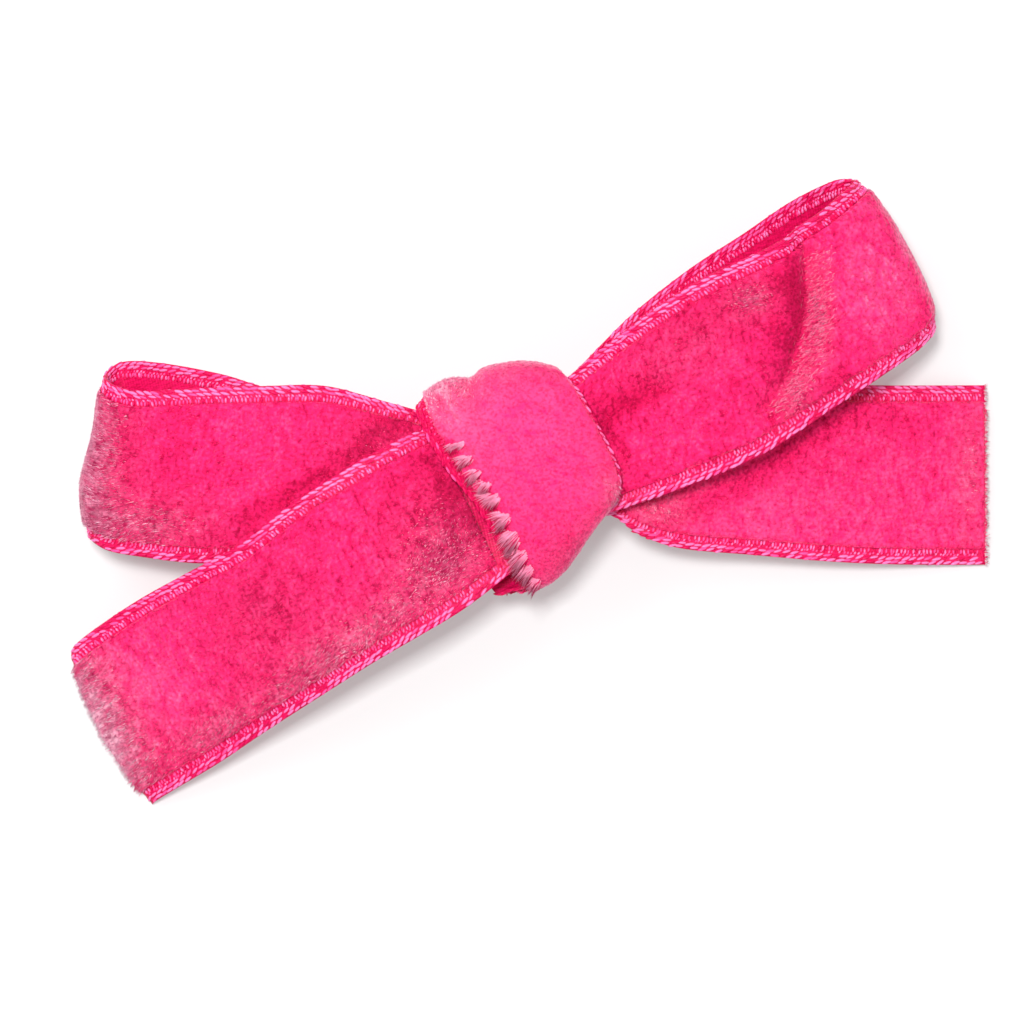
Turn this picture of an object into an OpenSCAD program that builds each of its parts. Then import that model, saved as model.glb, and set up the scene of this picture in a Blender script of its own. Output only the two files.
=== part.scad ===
// Velvet bow barrette on an arched spring clip with a pinch-release clasp.
// X runs along the clip, the hinge is at -X and the clasp at +X.
// +Z is up, the bow's face, and the clip stands on the plane Z = 0.

/* [Clip] */
// Length of the arched base plate
clip_len = 70; // [66:1:74]
// Width of the base plate
plate_w = 8; // [8:0.5:10]
// Thickness of the base plate's sheet
plate_t = 0.6; // [0.5:0.1:0.6]
// Rise of the base plate's arch from its ends to its middle
plate_rise = 4.4; // [4:0.1:4.6]
// Height of the base plate's top at its middle
plate_top = 10.9; // [10.8:0.1:10.9]
// Width of the arm between the hinge ears
arm_w = 5.6; // [5.2:0.1:5.6]
// Radius of the hinge pin
pin_r = 0.6; // [0.5:0.05:0.6]
// Radial clearance of the pin in the arm's eye
pin_gap = 0.05; // [0.03:0.01:0.08]

/* [Ribbon] */
// Width of the velvet ribbon
ribbon_w = 22; // [20:0.5:23]
// Thickness of the ribbon with its pile
ribbon_t = 1; // [0.8:0.1:1]
// Half the length of the knot along the clip
knot_half_x = 8.8; // [8:0.1:9]
// Height of the knot's crown
knot_top = 20.8; // [19:0.1:22]
// Turn of the knot's band from square to the clip
knot_turn = 13; // [8:1:14]

/* [Hidden] */

steel = "silver";
velvet = "deeppink";
thread = "crimson";

$fn = 48;
skin = 0.02;                    // gap between pieces that lie against each other
half_w = ribbon_w / 2;

// Base plate: an arc through its two ends and its crown.
plate_r = (pow(clip_len / 2, 2) + pow(plate_rise, 2)) / (2 * plate_rise);
plate_corner = 2.5;
ear_t = 0.6;
ear_half_x = 1.7;
hinge_x = -clip_len / 2 + 2.2;
hinge_z = 1.8;
ear_y = plate_w / 2 - ear_t;    // inner face of an ear

// Arm: an arc from the hinge's eye to its flat slotted head.
arm_t = 0.8;
eye_r = 1.5;
head_x = 27.5;                  // where the head starts
head_end = 35.9;
head_z = 1;
arm_rise = 1.2;
lip_w = 4.4;                    // the turned-down end that the clip stands on
slot_half_x = 2.3;
slot_half_y = 1.9;
clasp_x = 31;                   // middle of the clasp

// Clasp
body_t = 0.5;
body_len = 6;
rivet_r = 0.8;
wing_t = 0.4;
wing_half_x = 1.8;
wing_root_y = 2.6;
prong_y = 1.25;                 // inner face of a prong
tab_y = 3.5;                    // inner face of a squeeze tab
barb = 0.15;
bridge_gap = 0.35;              // room over a wing's bridge for its swing

// Heights of the base plate's two surfaces at x
function plate_z(x) = plate_top - plate_r + sqrt(plate_r * plate_r - x * x);
function under_z(x) = plate_top - plate_r + sqrt(pow(plate_r - plate_t, 2) - x * x);

// ---- shared shapes ----

// An arched strip: top surface of radius r through z = top, cut off at x0 and x1
module arched_strip(r, top, thick, width, x0, x1) {
    a0 = acos(x1 / r);
    a1 = acos(x0 / r);
    translate([0, 0, top - r])
        rotate([90, 0, 0])
            rotate_extrude(angle = a1 - a0, start = a0, $fn = 360)
                translate([r - thick, -width / 2])
                    square([thick, width]);
}

// A slab along X with rounded corners in plan
module rounded_slab(x0, x1, width, corner, z0, z1) {
    translate([0, 0, z0])
        linear_extrude(z1 - z0) {
            translate([x0 + corner, -width / 2])
                square([x1 - x0 - 2 * corner, width]);
            translate([x0, -width / 2 + corner])
                square([x1 - x0, width - 2 * corner]);
            for (x = [x0 + corner, x1 - corner], y = [-1, 1])
                translate([x, y * (width / 2 - corner)])
                    circle(corner);
        }
}

// A plate in the XZ plane from the 2D children, between y0 and y1
module upright(y0, y1) {
    translate([0, y1, 0])
        rotate([90, 0, 0])
            linear_extrude(y1 - y0)
                children();
}

// ---- ribbon strips ----
// A row is [u, v, z, roll, half width]: u outwards from the knot, v to the left of it.

// Catmull-Rom point of four rows at t
function spline(a, b, c, d, t) =
    0.5 * (2 * b + (c - a) * t + (2 * a - 5 * b + 4 * c - d) * t * t
           + (3 * b - a - 3 * c + d) * t * t * t);

// The rows with steps points between each pair
function smooth(rows, steps) = [
    for (i = [0 : len(rows) - 2], k = [0 : steps - 1])
        spline(rows[max(i - 1, 0)], rows[i], rows[i + 1], rows[min(i + 2, len(rows) - 1)], k / steps),
    rows[len(rows) - 1]
];

function unit(v) = v / norm(v);
function place(row) = [row[0], row[1], row[2]];
function across(row) = [0, cos(row[3]), sin(row[3])];

// Four corners of the strip's section at each row
function sections(rows) = [
    for (i = [0 : len(rows) - 1])
        let (
            along = unit(place(rows[min(i + 1, len(rows) - 1)]) - place(rows[max(i - 1, 0)])),
            side = unit(across(rows[i]) - along * (along * across(rows[i]))),
            up = cross(along, side),
            middle = place(rows[i]),
            w = side * rows[i][4],
            t = up * ribbon_t / 2
        )
        [middle - w - t, middle + w - t, middle + w + t, middle - w + t]
];

// A closed strip of ribbon along the rows
module strip(rows) {
    rings = sections(rows);
    last = len(rings) - 1;
    points = [for (ring = rings) each ring];
    sides = [
        for (i = [0 : last - 1], k = [0 : 3])
            let (a = 4 * i + k, b = 4 * i + (k + 1) % 4)
            each [[a, b, b + 4], [a, b + 4, a + 4]]
    ];
    caps = [[3, 2, 1, 0], [4 * last, 4 * last + 1, 4 * last + 2, 4 * last + 3]];
    polyhedron(points, concat(sides, caps));
}

// A strip placed at its heading, cut off at the middle of the knot
module ribbon(rows, heading, shift, side) {
    color(velvet)
        intersection() {
            translate([0, shift, 0])
                rotate([0, 0, heading])
                    strip(smooth(rows, 4));
            translate([side > 0 ? 0.1 : -80.1, -50, 0])
                cube([80, 100, 50]);
        }
}

pinch = 7;                      // half width of a strip under the middle of the knot

left_loop_rows = [
    [-6, 0, 11.8, 0, pinch - 1], [3, 0, 11.8, 0, pinch], [11, 0.4, 12.0, 0, 7.4],
    [19, 0.3, 11.8, -7, 10], [28, 0.3, 11.2, -11, half_w], [36, 0.2, 9.4, -12, half_w],
    [44, -0.4, 6.0, -13, half_w], [50, -0.7, 3.7, -13, half_w], [53.6, -0.6, 5.5, -13, half_w],
    [52.6, -0.3, 9.0, -13, half_w], [47, 0, 11.9, -13, half_w], [38, 0.3, 14.4, -12, half_w],
    [28, 0.3, 15.7, -11, half_w], [19, 0.3, 15.0, -7, 10], [11, 0.4, 13.4, 0, 7.4],
    [3, 0, 12.95, 0, pinch], [-6, 0, 12.95, 0, pinch - 1]
];

left_tail_rows = [
    [-6, 0, 14.1, 0, pinch - 1], [3, 0, 14.1, 0, pinch], [11, 0, 15.3, -1, 8.8],
    [20, 0, 17.1, -8, half_w], [30, 0, 16.4, -11, half_w], [40, 0, 13.0, -10, half_w],
    [50, 0, 7.4, -6, half_w], [56.5, 0, 3.2, -3, half_w], [59.6, 0, 1.3, -1, half_w]
];

right_loop_rows = [
    [-6, 0, 12.95, 0, pinch - 1], [3, 0, 12.95, 0, pinch], [11, 0.6, 13.2, 2, 8.8],
    [20, 1.8, 14.4, 12, half_w], [30, 1.6, 13.8, 16, half_w], [40, 1, 11.6, 16, half_w],
    [48, 0.4, 7.4, 15, half_w], [53.4, 0.2, 5.2, 14, half_w], [57, 0.1, 7.6, 14, half_w],
    [56, 0, 11.6, 14, half_w], [49, -0.2, 15.8, 15, half_w], [39, -0.4, 19.4, 16, half_w],
    [29, -0.4, 20.8, 16, half_w], [20, -0.2, 19.4, 11, half_w], [11, 0, 15.4, 2, 8.8],
    [3, 0, 14.1, 0, pinch], [-6, 0, 14.1, 0, pinch - 1]
];

right_tail_rows = [
    [-6, 0, 11.8, 0, pinch - 1], [3, 0, 11.8, 0, pinch], [11, 0, 11.7, 1, 8.4],
    [20, 0, 10.9, 4, 10.6], [30, 0, 9.2, 6, half_w], [40, 0, 6.4, 4, half_w],
    [50, 0, 3.4, 2, half_w], [59.2, 0, 1.2, 0, half_w]
];

module left_loop() { ribbon(left_loop_rows, 162, -1.3, -1); }
module left_tail() { ribbon(left_tail_rows, 197.8, 0.8, -1); }
module right_loop() { ribbon(right_loop_rows, 16.5, 0, 1); }
module right_tail() { ribbon(right_tail_rows, -15.8, 3.3, 1); }

// ---- knot ----

knot_reach = 14.2;              // half length of the knot across the clip
wrap_t = 1;
knot_floor = 9.7;              // inside of the band under the plate
knot_ceiling = 16.4;            // inside of the band over the strips

module knot_wrap() {
    color(velvet)
        rotate([0, 0, knot_turn])
            intersection() {
                rotate([90, 0, 90])
                    translate([0, 0, -knot_half_x])
                        linear_extrude(2 * knot_half_x)
                            difference() {
                                knot_outline();
                                knot_inside();
                            }
                upright(-20, 20)
                    knot_crown();
            }
}

// Section of the band across the clip: a wide pillow above, drawn in to the plate below
module knot_outline() {
    polygon(concat(
        [[-5.6, knot_floor - wrap_t], [5.6, knot_floor - wrap_t],
         [knot_reach - 1, knot_floor + 0.1], [knot_reach, 12]],
        [for (a = [0 : 9 : 180])
            [knot_reach * cos(a), 14.6 + (knot_top - 14.6) * sin(a)]],
        [[-knot_reach, 12], [1 - knot_reach, knot_floor + 0.1]]
    ));
}

module knot_inside() {
    inner = knot_reach - wrap_t;
    polygon([
        [-5.4, knot_floor], [5.4, knot_floor], [inner - 0.9, knot_floor + 0.9], [inner, 12.2],
        [inner, 15.2], [inner - 1.4, knot_ceiling], [1.4 - inner, knot_ceiling],
        [-inner, 15.2], [-inner, 12.2], [0.9 - inner, knot_floor + 0.9]
    ]);
}

// Section along the clip: the pillow falls off towards both of its edges
module knot_crown() {
    edge_z = 17.4;
    polygon(concat(
        [[-knot_half_x, 0], [knot_half_x, 0]],
        [for (a = [0 : 9 : 180])
            [knot_half_x * cos(a), edge_z + (knot_top - edge_z) * sin(a)]]
    ));
}

// Turns of thread round the strips, between them and the plate
thread_d = 0.3;
thread_turns = 3;

module binding_thread() {
    color(thread)
        for (i = [0 : thread_turns - 1])
            translate([(i - 1) * 1.2 - thread_d / 2, 0, 0])
                rotate([90, 0, 90])
                    linear_extrude(thread_d)
                        difference() {
                            thread_outline(thread_d);
                            thread_outline(0);
                        }
}

module thread_outline(grow) {
    polygon([
        [-10.3 - grow, 11.22 - grow], [10.3 + grow, 11.22 - grow],
        [10.3 + grow, 15 + grow], [-10.3 - grow, 15 + grow]
    ]);
}

// ---- clip ----

module base_plate() {
    color(steel)
        difference() {
            union() {
                intersection() {
                    arched_strip(plate_r, plate_top, plate_t, plate_w, -clip_len / 2, clip_len / 2);
                    rounded_slab(-clip_len / 2, clip_len / 2, plate_w, plate_corner, 0, 20);
                }
                for (side = [-1, 1])
                    ear(side);
            }
            translate([hinge_x, plate_w, hinge_z])
                rotate([90, 0, 0])
                    cylinder(h = 2 * plate_w, r = pin_r + skin);
            translate([clasp_x, 0, 0])
                cylinder(h = 20, r = rivet_r + skin);
        }
}

// An ear folded down from the plate's edge, flat at its foot
module ear(side) {
    y0 = side > 0 ? ear_y : -ear_y - ear_t;
    top = under_z(hinge_x) + 0.05;
    upright(y0, y0 + ear_t)
        polygon([
            [hinge_x - ear_half_x + 0.5, 0], [hinge_x + ear_half_x - 0.5, 0],
            [hinge_x + ear_half_x, 0.5], [hinge_x + ear_half_x + 0.3, top + 0.2],
            [hinge_x - ear_half_x + 1, top], [hinge_x - ear_half_x, hinge_z + 1.5],
            [hinge_x - ear_half_x, 0.5]
        ]);
}

// Pin through both ears, with a peened head outside each
module hinge_pin() {
    head_t = 0.4;
    color(steel)
        translate([hinge_x, 0, hinge_z])
            rotate([90, 0, 0]) {
                cylinder(h = plate_w + 0.2, r = pin_r, center = true);
                for (side = [-1, 1])
                    translate([0, 0, side * (plate_w / 2 + skin + head_t / 2)])
                        cylinder(h = head_t, r = pin_r + 0.4, center = true);
            }
}

module clasp_arm() {
    color(steel)
        difference() {
            union() {
                translate([hinge_x, 0, hinge_z])
                    rotate([90, 0, 0])
                        cylinder(h = arm_w + 0.4, r = eye_r, center = true);
                arm_strip();
                rounded_slab(head_x, head_end, arm_w, 0.6, head_z, head_z + arm_t);
                translate([head_end - arm_t, -lip_w / 2, 0])
                    cube([arm_t, lip_w, head_z + arm_t / 2]);
            }
            translate([hinge_x, plate_w, hinge_z])
                rotate([90, 0, 0])
                    cylinder(h = 2 * plate_w, r = pin_r + pin_gap);
            translate([clasp_x - slot_half_x, -slot_half_y, -1])
                cube([2 * slot_half_x, 2 * slot_half_y, 4]);
        }
}

// The arm's arched strip: an arc from the eye over the crown to the start of the head
module arm_strip() {
    middle = (hinge_x + head_x) / 2;
    half = (head_x - hinge_x) / 2;
    r = (half * half + arm_rise * arm_rise) / (2 * arm_rise);
    translate([middle, 0, 0])
        arched_strip(r, head_z + arm_t + arm_rise + 0.02, arm_t, arm_w, 0.9 - half, half + 0.3);
}

// Sprung strip hooked under both ends of the plate
module tension_bar() {
    bar_half = 25;
    bar_drop = 1.2;
    bar_r = (bar_half * bar_half + bar_drop * bar_drop) / (2 * bar_drop);
    bar_top = 8.55;
    hook = 1.6;
    color(steel) {
        arched_strip(bar_r, bar_top, 0.4, 4, -bar_half, bar_half);
        for (side = [-1, 1])
            upright(-2, 2)
                polygon([
                    [side * (bar_half - 0.2), bar_top - bar_drop - 0.42],
                    [side * (bar_half + hook), under_z(bar_half + hook) - 0.42],
                    [side * (bar_half + hook), under_z(bar_half + hook) - skin],
                    [side * (bar_half - 0.2), bar_top - bar_drop]
                ]);
    }
}

// Cross piece of the clasp under the plate
body_top = under_z(clasp_x + body_len / 2) - skin;

module clasp_body() {
    color(steel)
        difference() {
            rounded_slab(clasp_x - body_len / 2, clasp_x + body_len / 2, 2 * wing_root_y - 0.6,
                         0.6, body_top - body_t, body_top);
            translate([clasp_x, 0, 0])
                cylinder(h = 20, r = rivet_r + skin);
        }
}

// Rivet with a low head on the plate and one under the cross piece
module clasp_rivet() {
    head_t = 0.4;
    top = plate_z(clasp_x - rivet_r) + 0.1;
    bottom = body_top - body_t - skin;
    color(steel)
        translate([clasp_x, 0, 0])
            rotate_extrude()
                polygon([
                    [0, bottom - head_t], [rivet_r + 0.3, bottom - head_t], [rivet_r + 0.3, bottom],
                    [rivet_r, bottom], [rivet_r, top], [rivet_r + 0.5, top],
                    [rivet_r + 0.2, top + head_t], [0, top + head_t]
                ]);
}

// One side of the clasp: a bridge, an outer squeeze tab and an inner barbed prong
module wing() {
    bridge_z = body_top - body_t - bridge_gap;
    upright_x0 = clasp_x - wing_half_x;
    translate([upright_x0, 0, 0])
        rotate([90, 0, 90])
            linear_extrude(2 * wing_half_x)
                polygon([
                    [prong_y, 0.3], [prong_y, bridge_z], [wing_root_y - 0.2, bridge_z],
                    [wing_root_y - 0.2, body_top], [tab_y, body_top], [tab_y + wing_t, body_top - wing_t],
                    [tab_y + wing_t, 2.2], [tab_y + wing_t + 0.7, 0.5], [tab_y + wing_t + 0.3, 0.3],
                    [tab_y, 2.0], [tab_y, bridge_z - wing_t], [prong_y + wing_t, bridge_z - wing_t],
                    [prong_y + wing_t, 0.9], [prong_y + wing_t + barb, 0.8], [prong_y + 0.2, 0.3]
                ]);
}

module front_wing() {
    color(steel)
        mirror([0, 1, 0])
            wing();
}

module back_wing() {
    color(steel)
        wing();
}

base_plate();
hinge_pin();
clasp_arm();
tension_bar();
clasp_body();
clasp_rivet();
front_wing();
back_wing();
binding_thread();
knot_wrap();
left_loop();
left_tail();
right_loop();
right_tail();
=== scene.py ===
"""Velvet bow barrette: the ribbon bow and the looks of its spring clip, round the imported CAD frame.

The lengths of the bow and of the view are millimetres, and turn into metres where they are used. Those of
the stage, the lights and the materials are metres.
Every ribbon strip is a sheet between two rails: A on the bow's upper edge and B on its lower edge.
"""
import math

import bpy
import numpy as np
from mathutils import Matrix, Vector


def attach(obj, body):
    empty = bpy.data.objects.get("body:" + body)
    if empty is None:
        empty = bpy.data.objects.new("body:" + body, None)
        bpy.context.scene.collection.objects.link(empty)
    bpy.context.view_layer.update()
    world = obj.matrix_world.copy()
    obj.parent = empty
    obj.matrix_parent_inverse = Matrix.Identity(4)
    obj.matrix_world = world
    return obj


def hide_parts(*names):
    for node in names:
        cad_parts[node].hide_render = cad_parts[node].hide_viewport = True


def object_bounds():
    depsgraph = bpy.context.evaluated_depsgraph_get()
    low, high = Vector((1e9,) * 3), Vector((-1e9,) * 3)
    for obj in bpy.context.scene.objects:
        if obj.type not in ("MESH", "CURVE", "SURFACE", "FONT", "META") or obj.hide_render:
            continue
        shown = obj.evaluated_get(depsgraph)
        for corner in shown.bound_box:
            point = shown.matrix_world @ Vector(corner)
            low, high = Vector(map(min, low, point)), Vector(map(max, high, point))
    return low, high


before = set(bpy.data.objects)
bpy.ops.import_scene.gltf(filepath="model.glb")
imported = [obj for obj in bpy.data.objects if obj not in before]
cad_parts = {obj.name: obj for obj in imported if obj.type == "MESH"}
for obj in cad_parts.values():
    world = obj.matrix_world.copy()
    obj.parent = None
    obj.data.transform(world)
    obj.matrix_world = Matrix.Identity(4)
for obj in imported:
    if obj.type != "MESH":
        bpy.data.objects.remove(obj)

CAD_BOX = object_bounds()
MM = 0.001
BOW = "bow_and_plate"

# ---- ribbon, as sold ----
RIBBON_W, HALF_W = 22.0, 11.0
GROUND_T = 0.3          # woven ground, without the pile
RIDGE_H, RIDGE_W = 0.05, 0.9          # the ground's ridges along its edges
SELVEDGE = 2.0          # stitched edge without pile
PILE_H = 0.62           # dense part of the pile
PILE_SINK = 0.08        # how far the pile's rim is sunk into the ground
PILE_ROUND = 0.55       # how far in from its edges the pile rounds off
FIBRE_H = 0.45          # fibre tips above the dense part
FIBRE_R = 0.056
FIBRE_SPREAD = 0.18     # how unevenly the fibres lean
CLUMP = 0.62            # spacing of the small tufts that the fibres gather into
STITCH_MARGIN = 0.6     # how far from a strip's ends its stitches stop

# ---- mesh steps, and how many fibres ----
RAIL_STEPS = 24         # points on a rail between two of its rows
GROUND_STEP, GROUND_COLUMNS = 0.45, 49
PILE_STEP, KNOT_PILE_STEP = 0.19, 0.17
FIBRES_PER_MM2, KNOT_FIBRES_PER_MM2 = 22, 40
FRAYED_THREADS = 420
CREASE_FIBRES = 3200
TUFT_FIBRES = 120       # fibres in each brush of long pile at the knot's left edge

# ---- the bow as tied ----
BULGE_REACH = 9.0       # how far back from its end the left tail bulges
FRONT_FROM = 0.42       # share of a loop's length from which it is its front
KNOT_LEFT, KNOT_RIGHT = -0.84, 0.94   # the pile hides all but the outermost cord of the right edge
KNOT_PUCKERS = 30       # waves round the whole band where its pile is drawn in at the left edge

# ---- binding thread ----
THREAD_TURNS, THREAD_STRANDS, THREAD_SIDES, THREAD_POINTS = 3, 2, 8, 260
THREAD_RADIUS, STRAND_OFFSET, TURN_PITCH, TWISTS = 0.085, 0.06, 1.2, 60
THREAD_HALF_Y, THREAD_LOW, THREAD_HIGH = 10.45, 11.07, 15.15
CORNER_POWER = 0.16     # rounds the corners of each turn

# ---- view ----
ROLL = math.radians(14)             # the clip's axis rises to the right in the view
VIEW_XY = (-1.7, -3.1)              # the point under the middle of the picture
VIEW_WIDTH = 128.7                  # what the picture spans at VIEW_Z
VIEW_Z = 12.0
LENS, SENSOR = 180.0, 36.0
FLOOR_WHITE, FLOOR_GLOW = 0.54, 0.24  # a lit table: its shadows stay faint
CAMERA_Z = VIEW_Z + VIEW_WIDTH * LENS / SENSOR


# ---------------------------------------------------------------- helpers

def linear(*display):
    """Linear colour of an 8-bit display colour."""
    return tuple(((c / 255 + 0.055) / 1.055) ** 2.4 if c > 10 else c / 255 / 12.92 for c in display) + (1.0,)


def unit(v):
    """Each vector at length 1."""
    return v / np.maximum(np.linalg.norm(v, axis=-1, keepdims=True), 1e-9)


def make_mesh(name, verts, faces, materials, face_material=None):
    """A piece from points in millimetres that rides on the bow's body."""
    mesh = bpy.data.meshes.new(name)
    mesh.from_pydata((np.asarray(verts) * MM).tolist(), [], [list(map(int, f)) for f in faces])
    for material in materials:
        mesh.materials.append(material)
    if face_material is not None:
        mesh.polygons.foreach_set("material_index", np.asarray(face_material, dtype=np.int32))
    mesh.polygons.foreach_set("use_smooth", np.ones(len(mesh.polygons), dtype=bool))
    mesh.update()
    obj = bpy.data.objects.new(name, mesh)
    bpy.context.scene.collection.objects.link(obj)
    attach(obj, BOW)
    return obj


def smooth_rows(rows, steps):
    """Catmull-Rom points through the rows."""
    rows = np.asarray(rows, float)
    padded = np.vstack([rows[:1], rows, rows[-1:]])
    t = (np.arange(steps) / steps)[:, None]
    runs = []
    for a, b, c, d in zip(padded, padded[1:], padded[2:], padded[3:]):
        runs.append(0.5 * (2 * b + (c - a) * t + (2 * a - 5 * b + 4 * c - d) * t ** 2
                           + (3 * b - a - 3 * c + d) * t ** 3))
    return np.vstack(runs + [rows[-1:]])


def value_noise(x, y, cell, seed):
    """Smooth noise from -1 to 1 on a square lattice with cells of the given size."""
    x, y = x / cell + 1000, y / cell + 1000
    ix, iy = np.floor(x).astype(np.int64), np.floor(y).astype(np.int64)
    fx, fy = x - ix, y - iy
    fx, fy = fx * fx * (3 - 2 * fx), fy * fy * (3 - 2 * fy)

    def lattice(i, j):
        h = (i * 374761393 + j * 668265263 + seed * 974634777) & 0xFFFFFFFF
        h = ((h ^ (h >> 13)) * 1274126177) & 0xFFFFFFFF
        return ((h ^ (h >> 16)) & 0xFFFF) / 32767.5 - 1

    low = lattice(ix, iy) * (1 - fx) + lattice(ix + 1, iy) * fx
    high = lattice(ix, iy + 1) * (1 - fx) + lattice(ix + 1, iy + 1) * fx
    return low * (1 - fy) + high * fy


def clumps(x, y, cell, seed):
    """Where each point's nearest tuft stands, and how near it is from 0 to 1."""
    gx, gy = np.floor(x / cell), np.floor(y / cell)
    best = np.full(x.shape, 9.0)
    near_x, near_y = np.zeros(x.shape), np.zeros(x.shape)
    for dx in (-1, 0, 1):
        for dy in (-1, 0, 1):
            i, j = gx + dx, gy + dy
            cx = (i + 0.5 + 0.42 * value_noise(i * 1.0, j * 1.0, 1.0, seed)) * cell
            cy = (j + 0.5 + 0.42 * value_noise(i * 1.0, j * 1.0, 1.0, seed + 1)) * cell
            d = np.hypot(x - cx, y - cy) / cell
            closer = d < best
            best = np.where(closer, d, best)
            near_x, near_y = np.where(closer, cx, near_x), np.where(closer, cy, near_y)
    return near_x, near_y, np.clip(1 - best / 0.75, 0, 1)


def soft_spots(points, spots):
    """Sum of soft spots in plan, each (x, y, length, width, heading in degrees, value)."""
    total = np.zeros(points.shape[:-1])
    for x, y, length, width, heading, value in spots:
        a = math.radians(heading)
        dx, dy = points[..., 0] - x, points[..., 1] - y
        u = (dx * math.cos(a) + dy * math.sin(a)) / length
        v = (dy * math.cos(a) - dx * math.sin(a)) / width
        total += value * np.exp(-(u * u + v * v))
    return total


def grid_faces(rows, columns, flip=False, start=0):
    """Quads of a grid of points laid out row by row."""
    i, j = np.meshgrid(np.arange(rows - 1), np.arange(columns - 1), indexing="ij")
    a = (start + i * columns + j).ravel()
    quads = np.stack([a, a + 1, a + columns + 1, a + columns], axis=1)
    return quads[:, ::-1] if flip else quads


# ---------------------------------------------------------------- ribbon strips

class Strip:
    """A ribbon between two rails, measured along its middle line."""

    def __init__(self, rows, pile_side, relief, smooth, combed, seed, crown=0.0, end_bulge=0.0,
                 looped=False, mottle=0.25, light=0.0, rough=1.0, puckers=0, back_edge=1.0):
        rows = np.array(rows, float)
        for first in (0, 3):  # plan places are as the camera sees them
            reach = (CAMERA_Z - rows[:, first + 2:first + 3]) / (CAMERA_Z - VIEW_Z)
            rows[:, first:first + 2] = VIEW_XY + (rows[:, first:first + 2] - VIEW_XY) * reach
        self.rails = smooth_rows(rows, RAIL_STEPS)
        middle = (self.rails[:, :3] + self.rails[:, 3:]) / 2
        step = np.linalg.norm(np.diff(middle, axis=0), axis=1)
        self.at = np.concatenate([[0], np.cumsum(step)])
        self.length = self.at[-1]
        self.side = pile_side
        self.relief, self.crown, self.end_bulge = relief, crown, end_bulge
        self.smooth, self.combed, self.seed = smooth, combed, seed
        self.looped, self.puckers, self.back_edge = looped, puckers, back_edge
        self.mottle, self.light, self.rough = mottle, light, rough

    def base(self, s, t):
        """Middle surface at each s and t, before the relief."""
        rail = np.stack([np.interp(s, self.at, self.rails[:, k]) for k in range(6)], axis=-1)
        share = ((t + 1) / 2)[..., None]
        points = rail[..., :3] * (1 - share) + rail[..., 3:] * share
        if self.end_bulge:
            near = np.clip((s - self.length + BULGE_REACH) / BULGE_REACH, 0, 1) ** 2
            ahead = unit(rail[..., :3] - self.rails[-60, :3])
            points = points + ahead * (self.end_bulge * near * (1 - t ** 2))[..., None]
        return points

    def normal(self, s, t, points_at):
        """Normal of a surface function by small differences."""
        e = 0.15
        along = points_at(np.minimum(s + e, self.length), t) - points_at(np.maximum(s - e, 0), t)
        across = points_at(s, np.minimum(t + 0.02, 1)) - points_at(s, np.maximum(t - 0.02, -1))
        return unit(np.cross(along, across)) * self.side

    def tone(self, s, t):
        """How light the upright nap is, with painted shade and painted highlights, how far it is laid over to
        its pale side, partly a painted sheen, and how rough.
        """
        points = self.base(s, t)
        front = np.clip((s / self.length - FRONT_FROM) * 10, 0, 1) if self.looped else 1.0
        light = self.light + soft_spots(points, self.smooth) * front
        # The hollows between the knot's puckers are drawn darker: painted shade.
        if self.puckers:
            wave = 0.5 - 0.5 * np.sin(2 * np.pi * s / self.length * self.puckers)
            border = np.clip(-(t + 0.68) / 0.08, 0, 1) * np.clip(7.5 - points[..., 1], 0, 1)
            light = light - 2.2 * wave * border
        rough = self.rough * (1 - 0.75 * np.clip(light, 0, 0.8) / 0.8)
        return light, np.clip(soft_spots(points, self.combed) * front, 0, 1), rough

    def shaped(self, s, t):
        """Middle surface with its crown, ripples and creases."""
        points = self.base(s, t)
        normals = self.normal(s, t, self.base)
        lift = self.crown * (1 - t ** 2) + 0.22 * value_noise(s, t * HALF_W, 9.0, self.seed)
        lift = lift + self.relief(points, s / self.length, t)
        return points + normals * lift[..., None]

    def point(self, s, t, height):
        """Points at a height over the middle surface, on the pile's side."""
        s, t = np.broadcast_arrays(np.asarray(s, float), np.asarray(t, float))
        return self.shaped(s, t) + self.normal(s, t, self.shaped) * np.asarray(height)[..., None]

    def directions(self, s, t):
        """Unit vectors along the strip, across it and out of it on the pile's side."""
        s, t = np.broadcast_arrays(np.asarray(s, float), np.asarray(t, float))
        e = 0.2
        along = unit(self.shaped(np.minimum(s + e, self.length), t) - self.shaped(np.maximum(s - e, 0), t))
        out = self.normal(s, t, self.shaped)
        return along, unit(np.cross(out, along)), out


def ground_piece(name, strip, node):
    """The woven ground as a thin closed sheet with a few ridges along its edges."""
    ns, nt = int(strip.length / GROUND_STEP), GROUND_COLUMNS
    s, t = np.meshgrid(np.linspace(0, strip.length, ns), np.linspace(-1, 1, nt), indexing="ij")
    flat = np.full(s.shape, GROUND_T / 2)
    ridge = RIDGE_H * np.sin(t * RIBBON_W * np.pi / RIDGE_W)
    face = strip.point(s, t, flat + ridge * (np.abs(t) > 0.8)).reshape(-1, 3)
    back = strip.point(s, t, -flat).reshape(-1, 3)
    count = ns * nt
    faces = np.vstack([grid_faces(ns, nt, strip.side < 0), grid_faces(ns, nt, strip.side > 0, count)])
    rim = np.concatenate([
        np.arange(nt), nt - 1 + nt * np.arange(1, ns),
        count - 2 - np.arange(nt - 1), nt * np.arange(ns - 2, 0, -1),
    ])
    after = np.roll(rim, -1)
    band = np.stack([rim, rim + count, after + count, after], axis=1)
    faces = np.vstack([faces, band if strip.side > 0 else band[:, ::-1]])
    piece = make_mesh(name, np.vstack([face, back]), faces, [MATERIALS["ground"]])
    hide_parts(node)
    return piece


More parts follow.
